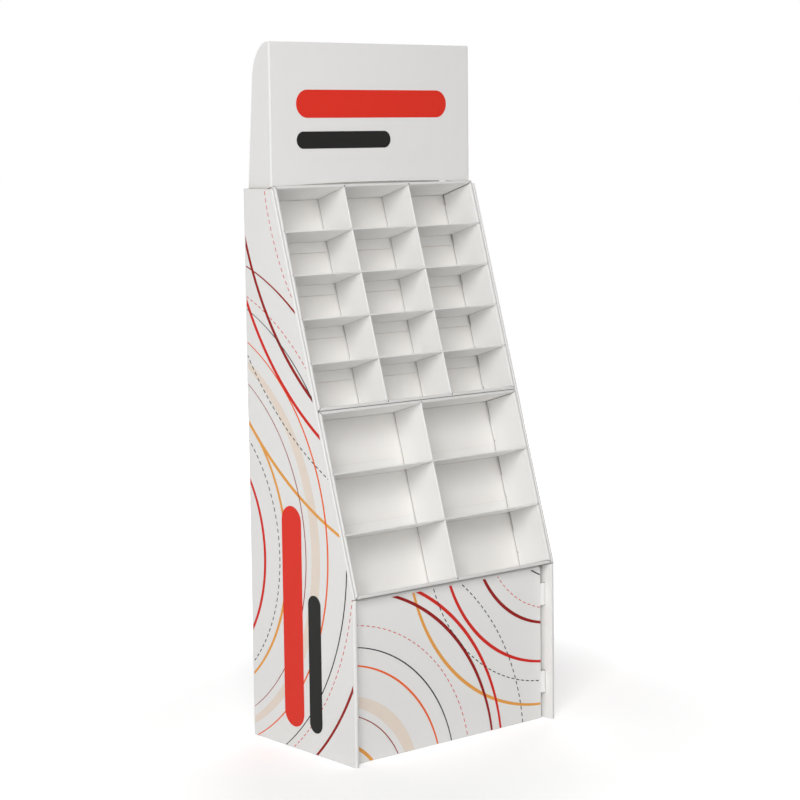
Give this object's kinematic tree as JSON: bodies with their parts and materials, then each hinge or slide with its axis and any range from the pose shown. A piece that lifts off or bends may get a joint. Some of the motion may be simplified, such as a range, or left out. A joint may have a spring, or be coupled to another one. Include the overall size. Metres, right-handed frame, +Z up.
{
  "type": "cardboard display stand",
  "caption": "Free-standing display stand of folded cardboard: sloping front with compartment trays, recessed base panel and a header with curved wings.",
  "frame": {"origin": "on the floor under the middle of the outline", "axes": "+Z up, +X to the right of someone facing the stand, front towards -Y"},
  "size_m": [0.6, 0.372, 1.567],
  "materials": {
    "printed_board": "matt white-coated, printed",
    "tray_board": "matt white-coated",
    "strip_board": "matt white-coated, fine flute"
  },
  "bodies": {
    "root": {"base_panel": "printed_board", "header": "printed_board", "lower_divider": "strip_board", "lower_shelf_1": "strip_board", "lower_shelf_2": "strip_board", "lower_tray": "tray_board", "shell": "printed_board", "upper_divider_left": "strip_board", "upper_divider_right": "strip_board", "upper_shelf_1": "strip_board", "upper_shelf_2": "strip_board", "upper_shelf_3": "strip_board", "upper_shelf_4": "strip_board", "upper_tray": "tray_board"}
  },
  "joints": []
}
